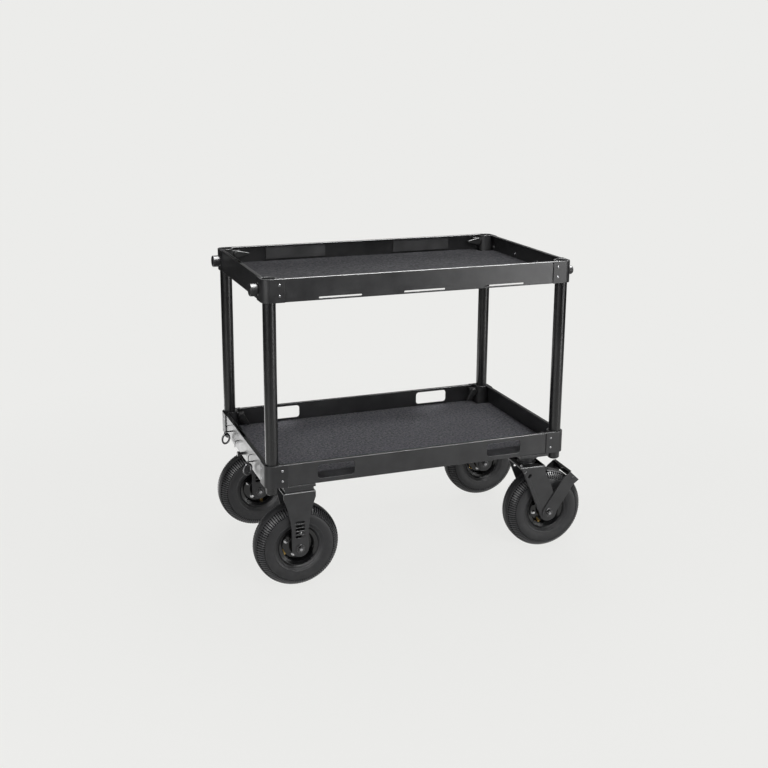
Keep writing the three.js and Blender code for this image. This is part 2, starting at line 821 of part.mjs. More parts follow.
function brakeArms() {
  const inner = armFace;
  const outer = inner + armSheet;
  const arms = joined(
    extrudeY(armShape(), inner, outer, 2 * arcSteps),
    extrudeY(armShape(), -outer, -inner, 2 * arcSteps),
    barY(pivotX, pivotZ, -outer - armSheet / 2, outer + armSheet / 2, pivotRadius, smallSteps),
  );
  return cut(arms, barY(0, 0, -outer - overrun, outer + overrun, axleRadius + seatGap, smallSteps));
}

// Rocker pedal: plate with its heel tab, two cheeks down to the pivot and the shoe
function pedal() {
  const length = Math.hypot(heelX - toeX, heelZ - toeZ);
  const alongPlate = [(heelX - toeX) / length, (heelZ - toeZ) / length];
  const place = (run, height) => [
    toeX + alongPlate[0] * run + alongPlate[1] * height,
    toeZ + alongPlate[1] * run - alongPlate[0] * height,
  ];
  const plate = outline([
    place(0, 0),
    place(0, -pedalSheet),
    place(length, -pedalSheet),
    place(length, pedalTab),
    place(length - pedalSheet, pedalTab),
    place(length - pedalSheet, 0),
  ]);
  const towardToe = Math.atan2(-alongPlate[1], -alongPlate[0]);
  const cheek = new THREE.Shape(points([place(length * cheekShare, 0), place(0, 0), place(0, -pedalSheet)]));
  cheek.absarc(pivotX, pivotZ, cheekRadius, towardToe, towardToe - Math.PI, true);
  const face = wheelRadius + shoeClear;
  const shoe = new THREE.Shape();
  shoe.absarc(0, 0, face + shoeThickness, shoeStartAngle * degree, shoeEndAngle * degree, false);
  shoe.absarc(0, 0, face, shoeEndAngle * degree, shoeStartAngle * degree, true);
  const outer = armFace - runGap;
  const inner = outer - cheekSheet;
  const whole = joined(
    extrudeY(plate, -outer, outer),
    extrudeY(cheek, inner, outer, 2 * arcSteps),
    extrudeY(cheek, -outer, -inner, 2 * arcSteps),
    extrudeY(shoe, -shoeWidth / 2, shoeWidth / 2),
  );
  return cut(whole, barY(pivotX, pivotZ, -outer - overrun, outer + overrun, pivotRadius + runGap, smallSteps));
}

// Assembly
const cart = new THREE.Group();
const ends = [
  ["left", -1],
  ["right", 1],
];
const sides = [
  ["front", -1],
  ["back", 1],
];

function cornerPieces(tray, tier, leverAngle, fittings) {
  for (const [side, sideY] of sides) {
    for (const [end, sideX] of ends) {
      const corner = new THREE.Group();
      corner.position.set(sideX * postX, sideY * postY, 0);
      const name = `${tier}_${side}_${end}`;
      const block = fittings ? joined(cornerBlock(), sideX < 0 ? stub() : peg()) : cornerBlock();
      const lever = node(`${name}_lever`, clampLever(leverAngle), plastic(), sideX, sideY);
      lever.position.set(sideX * leverX, 0, clampRise);
      corner.add(node(`${name}_block`, block, blackPaint(), sideX, sideY), lever);
      tray.add(corner);
    }
  }
}

function upperTray() {
  const tray = new THREE.Group();
  tray.position.z = upperTrayHeight;
  tray.add(
    node("upper_front_plate", upperSidePlate(), blackPaint(), 1, -1),
    node("upper_back_plate", upperSidePlate(), blackPaint()),
    node("upper_left_plate", upperLeftPlate(), blackPaint(), -1, 1),
    node("upper_right_plate", endPlate(), blackPaint()),
    node("upper_pan", upperPan(), blackPaint()),
    node("upper_carpet", carpet(upperPanLift), cloth()),
    node("upper_left_cover", coverPanel(-1), blackPaint()),
    node("upper_right_cover", coverPanel(1), blackPaint()),
  );
  cornerPieces(tray, "upper", upperLeverAngle, true);
  return tray;
}

function lowerTray() {
  const tray = new THREE.Group();
  tray.position.z = lowerTrayHeight;
  tray.add(
    node("lower_front_plate", lowerSidePlate(), blackPaint(), 1, -1),
    node("lower_back_plate", lowerSidePlate(), blackPaint()),
    node("lower_left_plate", lowerLeftPlate(), blackPaint(), -1, 1),
    node("lower_right_plate", endPlate(), blackPaint()),
    node("lower_pan", lowerPan(), blackPaint()),
    node("lower_carpet", carpet(lowerPanLift), cloth()),
    node("front_pull_ring", pullRing(-1), steel(), -1, 1),
    node("back_pull_ring", pullRing(1), steel(), -1, 1),
  );
  cornerPieces(tray, "lower", lowerLeverAngle, false);
  return tray;
}

function posts() {
  const group = new THREE.Group();
  for (const [side, sideY] of sides) {
    for (const [end, sideX] of ends) {
      const upright = node(`${side}_${end}_post`, post(), postPaint());
      upright.position.set(sideX * postX, sideY * postY, 0);
      group.add(upright);
    }
  }
  return group;
}

function fixedCaster(side, sideY) {
  const caster = new THREE.Group();
  caster.position.set(fixedAxleX, sideY * fixedAxleY, wheelRadius);
  caster.add(
    node(`${side}_fixed_mount`, fixedMount(), blackPaint()),
    node(`${side}_fixed_fork`, fixedFork(), blackPaint()),
    node(`${side}_fixed_axle`, axleBolt(fixedForkHalf), steel()),
    node(`${side}_fixed_rim`, rim(fixedForkGap), glossPaint()),
    node(`${side}_fixed_tyre`, tyre(), rubber()),
  );
  return caster;
}

function swivelCaster(side, sideY) {
  const caster = new THREE.Group();
  caster.position.set(kingpinX, sideY * swivelAxleY, wheelRadius);
  const turning = new THREE.Group();
  turning.rotation.z = swivelTurn * degree;
  const onAxle = new THREE.Group();
  onAxle.position.x = trail;
  onAxle.add(
    node(`${side}_swivel_axle`, axleBolt(armFace + armSheet), steel()),
    node(`${side}_swivel_rim`, rim(swivelForkGap), glossPaint()),
    node(`${side}_swivel_tyre`, tyre(), rubber()),
    node(`${side}_brake_arms`, brakeArms(), blackPaint()),
    node(`${side}_brake_pedal`, pedal(), blackPaint()),
  );
  turning.add(node(`${side}_swivel_fork`, swivelFork(), blackPaint()), onAxle);
  caster.add(node(`${side}_swivel_mount`, swivelMount(), blackPaint()), turning);
  return caster;
}

cart.add(upperTray(), lowerTray(), posts());
for (const [side, sideY] of sides) cart.add(fixedCaster(side, sideY), swivelCaster(side, sideY));

// The origin is on the floor under the middle of the cart's extents.
cart.updateMatrixWorld(true);
const extents = new THREE.Box3().setFromObject(cart, true);
const middle = extents.getCenter(new THREE.Vector3());
cart.position.set(-middle.x, -middle.y, 0);

export default cart;
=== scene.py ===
import json
import math

import bmesh
import bpy
from mathutils import Matrix, Vector


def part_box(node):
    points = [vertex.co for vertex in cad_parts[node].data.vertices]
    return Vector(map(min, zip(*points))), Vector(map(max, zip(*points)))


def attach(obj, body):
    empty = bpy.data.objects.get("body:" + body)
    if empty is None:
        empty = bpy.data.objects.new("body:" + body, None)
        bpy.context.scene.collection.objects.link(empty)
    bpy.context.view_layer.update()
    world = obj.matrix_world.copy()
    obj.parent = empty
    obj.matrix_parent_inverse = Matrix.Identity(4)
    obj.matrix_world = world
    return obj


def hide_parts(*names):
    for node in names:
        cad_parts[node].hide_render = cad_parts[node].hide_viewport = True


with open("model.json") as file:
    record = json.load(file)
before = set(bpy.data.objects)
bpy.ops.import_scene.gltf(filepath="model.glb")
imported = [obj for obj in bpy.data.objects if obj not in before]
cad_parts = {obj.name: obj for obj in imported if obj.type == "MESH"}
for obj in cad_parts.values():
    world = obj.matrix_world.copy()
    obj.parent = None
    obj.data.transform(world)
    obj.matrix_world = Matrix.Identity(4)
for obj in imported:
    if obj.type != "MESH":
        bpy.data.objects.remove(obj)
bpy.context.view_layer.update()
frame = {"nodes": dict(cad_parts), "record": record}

nodes = frame["nodes"]
body_of = {name: body for body, names in frame["record"]["behaviour"]["bodies"].items() for name in names}
slot_of = {part["node"]: part["material_slot"] for part in frame["record"]["subparts"]}

# Camera, at the photograph's viewing angle
CAMERA_PLACE = (-1.265933, -3.225365, 1.5373)
view_turn, view_drop, view_roll = (math.radians(angle) for angle in (20.762, 13.602, 0.384))
forward = Vector((math.sin(view_turn) * math.cos(view_drop), math.cos(view_turn) * math.cos(view_drop),
                  -math.sin(view_drop)))
level = Vector((math.cos(view_turn), -math.sin(view_turn), 0))
upright = level.cross(forward)
right = math.cos(view_roll) * level + math.sin(view_roll) * upright
up = -math.sin(view_roll) * level + math.cos(view_roll) * upright
lens = bpy.data.cameras.new("camera")
lens.sensor_width = 36
lens.lens = 51.99
lens.shift_y = -0.0703
lens.clip_end = 100
camera = bpy.data.objects.new("camera", lens)
bpy.context.scene.collection.objects.link(camera)
camera.matrix_world = (Matrix.Translation(CAMERA_PLACE)
                       @ Matrix((right, up, -forward)).transposed().to_4x4())
bpy.context.scene.camera = camera


# Shader groups
def shader_group(name, inputs, outputs):
    tree = bpy.data.node_groups.new(name, "ShaderNodeTree")
    for label, kind, value in inputs:
        socket = tree.interface.new_socket(name=label, in_out="INPUT", socket_type=kind)
        if value is not None:
            socket.default_value = value
    for label, kind in outputs:
        tree.interface.new_socket(name=label, in_out="OUTPUT", socket_type=kind)
    return tree, tree.nodes.new("NodeGroupInput"), tree.nodes.new("NodeGroupOutput")


def plug(tree, value, socket):
    """A link where the value comes from another node, a plain value otherwise."""
    if isinstance(value, bpy.types.NodeSocket):
        tree.links.new(value, socket)
    else:
        socket.default_value = value


def noise(tree, vector, scale, detail=3.0, roughness=0.55):
    node = tree.nodes.new("ShaderNodeTexNoise")
    node.inputs["Detail"].default_value = detail
    node.inputs["Roughness"].default_value = roughness
    plug(tree, scale, node.inputs["Scale"])
    tree.links.new(vector, node.inputs["Vector"])
    return node.outputs["Fac"]


def ramp(tree, value, low, high, to_low=0.0, to_high=1.0):
    node = tree.nodes.new("ShaderNodeMapRange")
    node.inputs["From Min"].default_value = low
    node.inputs["From Max"].default_value = high
    node.inputs["To Min"].default_value = to_low
    node.inputs["To Max"].default_value = to_high
    tree.links.new(value, node.inputs["Value"])
    return node.outputs["Result"]


def sum_of(tree, operation, first, second):
    node = tree.nodes.new("ShaderNodeMath")
    node.operation = operation
    plug(tree, first, node.inputs[0])
    plug(tree, second, node.inputs[1])
    return node.outputs[0]


def stretched(tree, vector, stretch):
    node = tree.nodes.new("ShaderNodeMapping")
    plug(tree, stretch, node.inputs["Scale"])
    tree.links.new(vector, node.inputs["Vector"])
    return node.outputs["Vector"]


def powder_coat_group():
    tree, start, end = shader_group(
        "powder_coat",
        [("Vector", "NodeSocketVector", None), ("Grain", "NodeSocketFloat", 1400.0)],
        [("Height", "NodeSocketFloat"), ("Mottle", "NodeSocketFloat")])
    fine = noise(tree, start.outputs["Vector"], start.outputs["Grain"], 2.0)
    orange = noise(tree, start.outputs["Vector"], 320.0, 2.0)
    fine, orange = sum_of(tree, "MULTIPLY", fine, 0.6), sum_of(tree, "MULTIPLY", orange, 0.4)
    tree.links.new(sum_of(tree, "ADD", fine, orange), end.inputs["Height"])
    mottle = ramp(tree, noise(tree, start.outputs["Vector"], 26.0, 5.0), 0.3, 0.7)
    tree.links.new(mottle, end.inputs["Mottle"])
    return tree


def handling_group():
    tree, start, end = shader_group(
        "handling_marks",
        [("Vector", "NodeSocketVector", None), ("Amount", "NodeSocketFloat", 1.0)],
        [("Smudge", "NodeSocketFloat"), ("Scuff", "NodeSocketFloat")])
    broad = ramp(tree, noise(tree, start.outputs["Vector"], 9.0, 4.0), 0.42, 0.68)
    streak = noise(tree, stretched(tree, start.outputs["Vector"], (60.0, 60.0, 900.0)), 1.0, 4.0, 0.7)
    patch = noise(tree, start.outputs["Vector"], 55.0, 2.0)
    scuff = sum_of(tree, "MULTIPLY", ramp(tree, streak, 0.62, 0.7), ramp(tree, patch, 0.58, 0.66))
    tree.links.new(sum_of(tree, "MULTIPLY", broad, start.outputs["Amount"]), end.inputs["Smudge"])
    tree.links.new(sum_of(tree, "MULTIPLY", scuff, start.outputs["Amount"]), end.inputs["Scuff"])
    return tree


def brushed_group():
    tree, start, end = shader_group(
        "drawn_lines",
        [("Vector", "NodeSocketVector", None), ("Stretch", "NodeSocketVector", (900.0, 900.0, 12.0))],
        [("Lines", "NodeSocketFloat")])
    drawn_out = stretched(tree, start.outputs["Vector"], start.outputs["Stretch"])
    tree.links.new(noise(tree, drawn_out, 1.0, 3.0, 0.6), end.inputs["Lines"])
    return tree


def pile_group():
    tree, start, end = shader_group(
        "carpet_pile",
        [("Vector", "NodeSocketVector", None), ("Tuft", "NodeSocketFloat", 380.0)],
        [("Height", "NodeSocketFloat"), ("Tone", "NodeSocketFloat"), ("Patch", "NodeSocketFloat")])
    tuft = tree.nodes.new("ShaderNodeTexVoronoi")
    tree.links.new(start.outputs["Vector"], tuft.inputs["Vector"])
    tree.links.new(start.outputs["Tuft"], tuft.inputs["Scale"])
    fibre = noise(tree, start.outputs["Vector"], 1500.0, 2.0, 0.7)
    tree.links.new(sum_of(tree, "SUBTRACT", fibre, tuft.outputs["Distance"]), end.inputs["Height"])
    clump = noise(tree, start.outputs["Vector"], 130.0, 4.0, 0.8)
    tree.links.new(ramp(tree, clump, 0.38, 0.64), end.inputs["Tone"])
    patch = ramp(tree, noise(tree, start.outputs["Vector"], 16.0, 4.0), 0.3, 0.7)
    tree.links.new(patch, end.inputs["Patch"])
    return tree


def dust_group():
    tree, start, end = shader_group(
        "floor_dust",
        [("Vector", "NodeSocketVector", None), ("Top", "NodeSocketFloat", 0.12)],
        [("Dust", "NodeSocketFloat"), ("Height", "NodeSocketFloat")])
    split = tree.nodes.new("ShaderNodeSeparateXYZ")
    tree.links.new(start.outputs["Vector"], split.inputs["Vector"])
    low = sum_of(tree, "SUBTRACT", start.outputs["Top"], split.outputs["Z"])
    cloud = noise(tree, start.outputs["Vector"], 60.0, 5.0, 0.65)
    dust = sum_of(tree, "MULTIPLY", ramp(tree, low, 0.0, 0.12), ramp(tree, cloud, 0.4, 0.75))
    tree.links.new(dust, end.inputs["Dust"])
    tree.links.new(noise(tree, start.outputs["Vector"], 900.0, 2.0), end.inputs["Height"])
    return tree


POWDER, HANDLING, BRUSHED, PILE, DUST = (
    powder_coat_group(), handling_group(), brushed_group(), pile_group(), dust_group())


# Materials
SCUFF_TONE = (0.07, 0.07, 0.07)
DUST_TONE = (0.08, 0.078, 0.075)
# Mat tones: darker and lighter pile mixed at random, worn patches, and the painted shade of the strip
# along the front plate, which stands for the plate's shadow on the mat
PILE_LOW, PILE_HIGH = (0.036, 0.036, 0.040), (0.126, 0.125, 0.137)
PILE_WORN, PILE_PAINTED_SHADE = (0.060, 0.060, 0.066), (0.0025, 0.0025, 0.0027)
# Painted shade strip: where it starts and where it is full, across the mat towards the front plate
SHADE_STRIP_START, SHADE_STRIP_FULL = -0.208, -0.222


class Finish:
    def __init__(self, name, colour, roughness, metallic=0.0, gloss=0.5):
        self.material = bpy.data.materials.new(name)
        self.material.use_nodes = True
        self.tree = self.material.node_tree
        self.shader = self.tree.nodes["Principled BSDF"]
        self.shader.inputs["Base Color"].default_value = (*colour, 1)
        self.shader.inputs["Roughness"].default_value = roughness
        self.shader.inputs["Metallic"].default_value = metallic
        self.shader.inputs["Specular IOR Level"].default_value = gloss
        self.place = self.tree.nodes.new("ShaderNodeTexCoord").outputs["Object"]

    def use(self, group, **values):
        node = self.tree.nodes.new("ShaderNodeGroup")
        node.node_tree = group
        self.tree.links.new(self.place, node.inputs["Vector"])
        for label, value in values.items():
            node.inputs[label].default_value = value
        return node.outputs

    def blend(self, mask, first, second):
        node = self.tree.nodes.new("ShaderNodeMix")
        node.data_type = "RGBA"
        self.tree.links.new(mask, node.inputs["Factor"])
        for socket, value in ((node.inputs["A"], first), (node.inputs["B"], second)):
            if isinstance(value, bpy.types.NodeSocket):
                self.tree.links.new(value, socket)
            else:
                socket.default_value = (*value, 1)
        return node.outputs["Result"]

    def feed(self, label, value):
        self.tree.links.new(value, self.shader.inputs[label])

    def bump(self, height, strength, distance):
        node = self.tree.nodes.new("ShaderNodeBump")
        node.inputs["Strength"].default_value = strength
        node.inputs["Distance"].default_value = distance
        self.tree.links.new(height, node.inputs["Height"])
        self.feed("Normal", node.outputs["Normal"])


def coated(name, colour, roughness, gloss, grain=1400.0, bump=0.25):
    finish = Finish(name, colour, roughness, 0.0, gloss)
    coat = finish.use(POWDER, Grain=grain)
    marks = finish.use(HANDLING, Amount=0.8)
    lighter = tuple(min(1, c * 1.35 + 0.002) for c in colour)
    tone = finish.blend(coat["Mottle"], colour, lighter)
    finish.feed("Base Color", finish.blend(marks["Scuff"], tone, SCUFF_TONE))
    uneven = ramp(finish.tree, coat["Mottle"], 0, 1, roughness - 0.03, roughness + 0.04)
    handled = sum_of(finish.tree, "MULTIPLY", marks["Smudge"], 0.07)
    finish.feed("Roughness", sum_of(finish.tree, "ADD", uneven, handled))
    finish.bump(coat["Height"], bump, 0.0003)
    return finish.material


def drawn(name, colour, roughness, metallic, stretch):
    finish = Finish(name, colour, roughness, metallic)
    lines = finish.use(BRUSHED, Stretch=stretch)["Lines"]
    marks = finish.use(HANDLING, Amount=0.6)
    darker = tuple(c * 0.72 for c in colour)
    finish.feed("Base Color", finish.blend(ramp(finish.tree, lines, 0.3, 0.7), darker, colour))
    uneven = ramp(finish.tree, lines, 0.3, 0.7, roughness - 0.06, roughness + 0.06)
    handled = sum_of(finish.tree, "MULTIPLY", marks["Smudge"], 0.08)
    finish.feed("Roughness", sum_of(finish.tree, "ADD", uneven, handled))
    finish.bump(lines, 0.12, 0.0002)
    return finish.material


def rubber(name, dark, light, smooth, rough, gloss=0.38):
    finish = Finish(name, dark, rough, 0.0, gloss)
    dust = finish.use(DUST, Top=0.2)
    coat = finish.use(POWDER, Grain=700.0)
    tone = finish.blend(coat["Mottle"], dark, light)
    dusty = sum_of(finish.tree, "MULTIPLY", dust["Dust"], 0.2)
    finish.feed("Base Color", finish.blend(dusty, tone, DUST_TONE))
    finish.feed("Roughness", ramp(finish.tree, coat["Mottle"], 0, 1, smooth, rough))
    finish.bump(dust["Height"], 0.3, 0.0003)
    return finish.material


def carpet_cloth(name, share, painted_shade=0.0):
    # share sets how light each mat is painted, standing for the light on its tier
    finish = Finish(name, (0.07, 0.07, 0.075), 0.95, 0.0, 0.02)
    pile = finish.use(PILE)
    low, high, worn, flat = (
        tuple(share * c for c in shade) for shade in (PILE_LOW, PILE_HIGH, PILE_WORN, PILE_PAINTED_SHADE))
    tone = finish.blend(pile["Tone"], low, high)
    across = finish.tree.nodes.new("ShaderNodeSeparateXYZ")
    finish.tree.links.new(finish.place, across.inputs["Vector"])
    # Painted shade: the pile is darkened towards the front plate, standing for the plate's shadow on the
    # mat; the flat tone is that painted shade
    strip = ramp(finish.tree, across.outputs["Y"], SHADE_STRIP_START, SHADE_STRIP_FULL, 0.0, painted_shade)
    tone = finish.blend(strip, tone, flat)
    trodden = sum_of(finish.tree, "MULTIPLY", pile["Patch"], 0.3)
    finish.feed("Base Color", finish.blend(trodden, tone, worn))
    finish.shader.inputs["Sheen Weight"].default_value = 0.03
    finish.shader.inputs["Sheen Roughness"].default_value = 0.6
    finish.bump(pile["Height"], 0.7, 0.0012)
    return finish.material


MATERIALS = {
    "tray_paint": coated("tray_powder_coat", (0.022, 0.022, 0.0233), 0.31, 0.44),
    "post_paint": drawn("post_anodised", (0.008, 0.008, 0.0084), 0.27, 0.0, (900.0, 900.0, 10.0)),
    "caster_paint": coated("caster_powder_coat", (0.022, 0.022, 0.0233), 0.33, 0.42),
    "rim_gloss": coated("rim_gloss_paint", (0.005, 0.005, 0.0055), 0.12, 0.5, 500.0, 0.04),
    "axle_steel": drawn("black_oxide_steel", (0.09, 0.09, 0.092), 0.26, 1.0, (300.0, 300.0, 300.0)),
    "ring_steel": drawn("dark_wire_steel", (0.11, 0.11, 0.113), 0.3, 1.0, (400.0, 400.0, 400.0)),
    "tyre_rubber": rubber("tyre_rubber", (0.0115, 0.0115, 0.013), (0.017, 0.017, 0.019), 0.44, 0.58),
    # The lower mat is painted about 2.7 times lighter than the upper one and carries the painted shade
    # along its front plate
    "carpet": carpet_cloth("carpet_cloth", 3.1, 0.95),
    "lever_plastic": coated("lever_moulding", (0.011, 0.011, 0.0115), 0.38, 0.45, 2200.0, 0.2),
}
RIVET = drawn("rivet_steel", (0.34, 0.34, 0.35), 0.3, 1.0, (500.0, 500.0, 500.0))
# Painted light: the upper mat is a darker copy of the same cloth, standing for the difference in light
# between the two tiers
UPPER_CARPET = carpet_cloth("upper_carpet_cloth", 1.15)
# Painted light on the tyres: rib tops get a lighter copy of the rubber as painted highlight, with real
# extra gloss, and the grooves a near-black copy as painted shade
RIB_PAINTED_HIGHLIGHT = rubber("rib_painted_highlight", (0.036, 0.036, 0.039), (0.052, 0.052, 0.056), 0.30, 0.40, 0.5)
GROOVE_PAINTED_SHADE = rubber("groove_painted_shade", (0.003, 0.003, 0.0035), (0.005, 0.005, 0.0055), 0.7, 0.8, 0.15)
BLOCK_COAT = coated("corner_block_coat", (0.015, 0.015, 0.016), 0.4, 0.35)
COVER_COAT = coated("cover_coat", (0.034, 0.034, 0.036), 0.42, 0.45)
BRASS = drawn("valve_brass", (0.62, 0.42, 0.16), 0.3, 1.0, (500.0, 500.0, 500.0))
CHROME = drawn("chromed_bolt", (0.72, 0.72, 0.73), 0.14, 1.0, (500.0, 500.0, 500.0))
DARK_WIRE = drawn("spring_wire", (0.05, 0.05, 0.052), 0.4, 1.0, (500.0, 500.0, 500.0))


for node_name in nodes:
    solid = nodes[node_name].data
    solid.materials.clear()
    solid.materials.append(MATERIALS[slot_of[node_name]])


# Modelling helpers
def only(piece):
    if bpy.context.object and bpy.context.object.mode != "OBJECT":
        bpy.ops.object.mode_set(mode="OBJECT")
    bpy.ops.object.select_all(action="DESELECT")
    piece.select_set(True)
    bpy.context.view_layer.objects.active = piece


def editing(piece, kind="FACE"):
    only(piece)
    bpy.ops.object.mode_set(mode="EDIT")
    bpy.ops.mesh.select_mode(type=kind)


def pick_faces(piece, wanted):
    mesh = bmesh.from_edit_mesh(piece.data)
    for face in mesh.faces:
        face.select_set(False)
    for face in mesh.faces:
        if wanted(face.calc_center_median(), face.normal):
            face.select_set(True)
    bmesh.update_edit_mesh(piece.data)


def pick_top(piece):
    pick_faces(piece, lambda centre, normal: normal.z > 0.9)


def leave():
    bpy.ops.object.mode_set(mode="OBJECT")


def smooth(piece, angle):
    only(piece)
    bpy.ops.object.shade_smooth_by_angle(angle=math.radians(angle))


def close_up(piece):
    editing(piece)
    bpy.ops.mesh.select_all(action="SELECT")
    bpy.ops.mesh.remove_doubles(threshold=1e-5)
    bpy.ops.mesh.normals_make_consistent(inside=False)
    leave()


def eased(piece, width):
    """Sharp edges taken off by a small round, with the flat faces kept flat in the light."""
    only(piece)
    edge = piece.modifiers.new("eased_edges", "BEVEL")
    edge.width = width
    edge.segments = 2
    edge.limit_method = "ANGLE"
    edge.angle_limit = math.radians(30)
    edge.use_clamp_overlap = False
    bpy.ops.object.modifier_apply(modifier=edge.name)
    smooth(piece, 40)
    flat = piece.modifiers.new("flat_faces", "WEIGHTED_NORMAL")
    flat.keep_sharp = True
    flat.weight = 90
    bpy.ops.object.modifier_apply(modifier=flat.name)


def finished(piece, material, body, slot, *stands_for):
    piece.data.materials.clear()
    piece.data.materials.append(material)
    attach(piece, body)
    if stands_for:
        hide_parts(*stands_for)
    return piece


def settle(piece):
    only(piece)
    bpy.ops.object.transform_apply(location=True, rotation=True, scale=True)


def copy_at(master, name, place):
    piece = bpy.data.objects.new(name, master.data.copy())
    bpy.context.scene.collection.objects.link(piece)
    piece.matrix_world = place
    settle(piece)
    return piece


def one_of(name, parts):
    only(parts[0])
    for part in parts[1:]:
        part.select_set(True)
    if len(parts) > 1:
        bpy.ops.object.join()
    parts[0].name = name
    return parts[0]


def set_out(master, name, places):
    return one_of(name, [copy_at(master, f"{name}_{i}", place) for i, place in enumerate(places)])


def drop(piece):
    bpy.data.objects.remove(piece)


def facing(x, y, z, direction):
    lean = Vector(direction).to_track_quat("Z", "Y").to_matrix().to_4x4()
    return Matrix.Translation((x, y, z)) @ lean


def stood(centre, turn):
    return Matrix.Translation(centre) @ Matrix.Rotation(math.radians(turn), 4, "Z")


def round_bar(sides, radius, length, start=0.0):
    bpy.ops.object.select_all(action="DESELECT")
    bpy.ops.mesh.primitive_cylinder_add(
        vertices=sides, radius=radius, depth=length, location=(0, 0, start + length / 2))
    return bpy.context.object


def mirrored(half):
    return half + [(r, -y) for r, y in reversed(half)]


def profile_line(name, places):
    bpy.ops.object.select_all(action="DESELECT")
    bpy.ops.mesh.primitive_plane_add(size=0.001, location=(0, 0, 0))
    piece = bpy.context.object
    piece.name = name
    bpy.ops.object.mode_set(mode="EDIT")
    bpy.ops.mesh.select_mode(type="VERT")
    bpy.ops.mesh.merge(type="CENTER")
    bpy.ops.transform.translate(value=places[0])
    last = Vector(places[0])
    for place in places[1:]:
        step = Vector(place) - last
        bpy.ops.mesh.extrude_region_move(TRANSFORM_OT_translate={"value": step})
        last = Vector(place)
    leave()
    return piece


def turned(name, section, steps, closed=False):
    """Section of (radius, place along the axis), turned round Y."""
    places = [(r, y, 0) for r, y in section]
    if closed:
        places.append(places[0])
    piece = profile_line(name, places)
    editing(piece, "VERT")
    bpy.ops.mesh.select_all(action="SELECT")
    bpy.ops.mesh.spin(steps=steps, angle=2 * math.pi, center=(0, 0, 0), axis=(0, 1, 0))
    leave()
    close_up(piece)
    return piece


# Sheet, tube and cast pieces, each with its edges eased
FORK_BEND, RIM_BEND = 0.0048, 0.0013
LONG_EDGE = 0.05


def round_fold(piece, height, offset, along="x"):
    """Folded sheet: its long edges at one height are rounded like a real bend."""
    editing(piece, "EDGE")
    mesh = bmesh.from_edit_mesh(piece.data)
    found = False
    for edge in mesh.edges:
        run = edge.verts[1].co - edge.verts[0].co
        length, across = (abs(run.x), abs(run.y)) if along == "x" else (abs(run.y), abs(run.x))
        level = all(abs(v.co.z - height) < 1e-4 for v in edge.verts)
        fold = level and length > LONG_EDGE and across < 0.2 * length
        edge.select_set(fold)
        found = found or fold
    bmesh.update_edit_mesh(piece.data)
    if found:
        bpy.ops.mesh.bevel(offset=offset, segments=5, affect="EDGES")
    leave()


def coat_of(name):
    if name.endswith("_block"):
        return BLOCK_COAT
    if name.endswith("_cover"):
        return COVER_COAT
    return MATERIALS[slot_of[name]]


def eased_copy(name, width):
    piece = bpy.data.objects.new(name + "_finished", nodes[name].data.copy())
    bpy.context.scene.collection.objects.link(piece)
    editing(piece)
    bpy.ops.mesh.select_all(action="SELECT")
    bpy.ops.mesh.remove_doubles(threshold=1e-6)
    bpy.ops.mesh.dissolve_limited(angle_limit=math.radians(0.5))
    leave()
    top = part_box(name)[1].z
    if name.endswith("_fork"):
        round_fold(piece, top, FORK_BEND)
    if name.endswith("_plate"):
        round_fold(piece, top, RIM_BEND, "y" if "_left_" in name or "_right_" in name else "x")
    eased(piece, width)
    finished(piece, coat_of(name), body_of[name], slot_of[name], name)


EASING = (
    ("plate", 0.0005), ("cover", 0.0006), ("block", 0.0007), ("lever", 0.0011), ("post", 0.0005),
    ("fork", 0.0009), ("mount", 0.0009), ("axle", 0.0006), ("arms", 0.0006), ("pedal", 0.0006),
    ("ring", 0.0003),
)
for node_name in sorted(nodes):
    for ending, width in EASING:
        if node_name.endswith("_" + ending):
            eased_copy(node_name, width)


# Tyres: half sections are (radius, distance from the middle), from the bead to the tread
BEAD_EDGE = (0.0522, 0.0285)
TYRE_SECTION = [
    (0.0608, 0.0285), (0.0622, 0.0318), (0.0655, 0.0355), (0.0672, 0.0363), (0.0685, 0.0360),
    (0.0713, 0.0388), (0.0760, 0.0405), (0.0765, 0.0411), (0.0785, 0.0413), (0.0792, 0.0409),
    (0.0870, 0.0420), (0.0940, 0.0424), (0.1000, 0.0420), (0.1040, 0.0411), (0.1060, 0.0403),
    (0.1066, 0.0380), (0.1105, 0.0357), (0.1142, 0.0326), (0.1174, 0.0290), (0.1202, 0.0250),
    (0.1222, 0.0216), (0.1252, 0.0226), (0.1268, 0.0196), (0.1280, 0.0164), (0.1262, 0.0152),
    (0.1266, 0.0134), (0.1292, 0.0126), (0.1298, 0.0090), (0.1272, 0.0080), (0.1272, 0.0062),
    (0.1300, 0.0054), (0.1300, 0.0018),
]
RIB_COUNT = 98
RIB_STEP = math.pi / RIB_COUNT
RIB_RISE = 0.0028
RIB_IN, RIB_OUT, RIB_SIDE = 0.1068, 0.1230, 0.0200
BLOCK_RISE = 0.0009
BLOCK_IN, BLOCK_OUT, BLOCK_SIDES = 0.1254, 0.1279, (0.0160, 0.0226)
SHOULDER_OUT, SHOULDER_SIDE = 0.1262, 0.0195
WALL, RIB, GROOVE = 0, 1, 2


def reach_of(centre):
    return math.hypot(centre.x, centre.z)


def on_rib_turn(centre):
    """Every other slice of the tyre carries a rib."""
    turn = int(math.floor((math.atan2(centre.z, centre.x) + math.pi) / RIB_STEP + 1e-6))
    return turn % 2 == 0


def on_rib(centre, normal):
    return on_rib_turn(centre) and RIB_IN < reach_of(centre) < RIB_OUT and abs(centre.y) > RIB_SIDE


def on_block(centre, normal):
    low, high = BLOCK_SIDES
    return on_rib_turn(centre) and BLOCK_IN < reach_of(centre) < BLOCK_OUT and low < abs(centre.y) < high


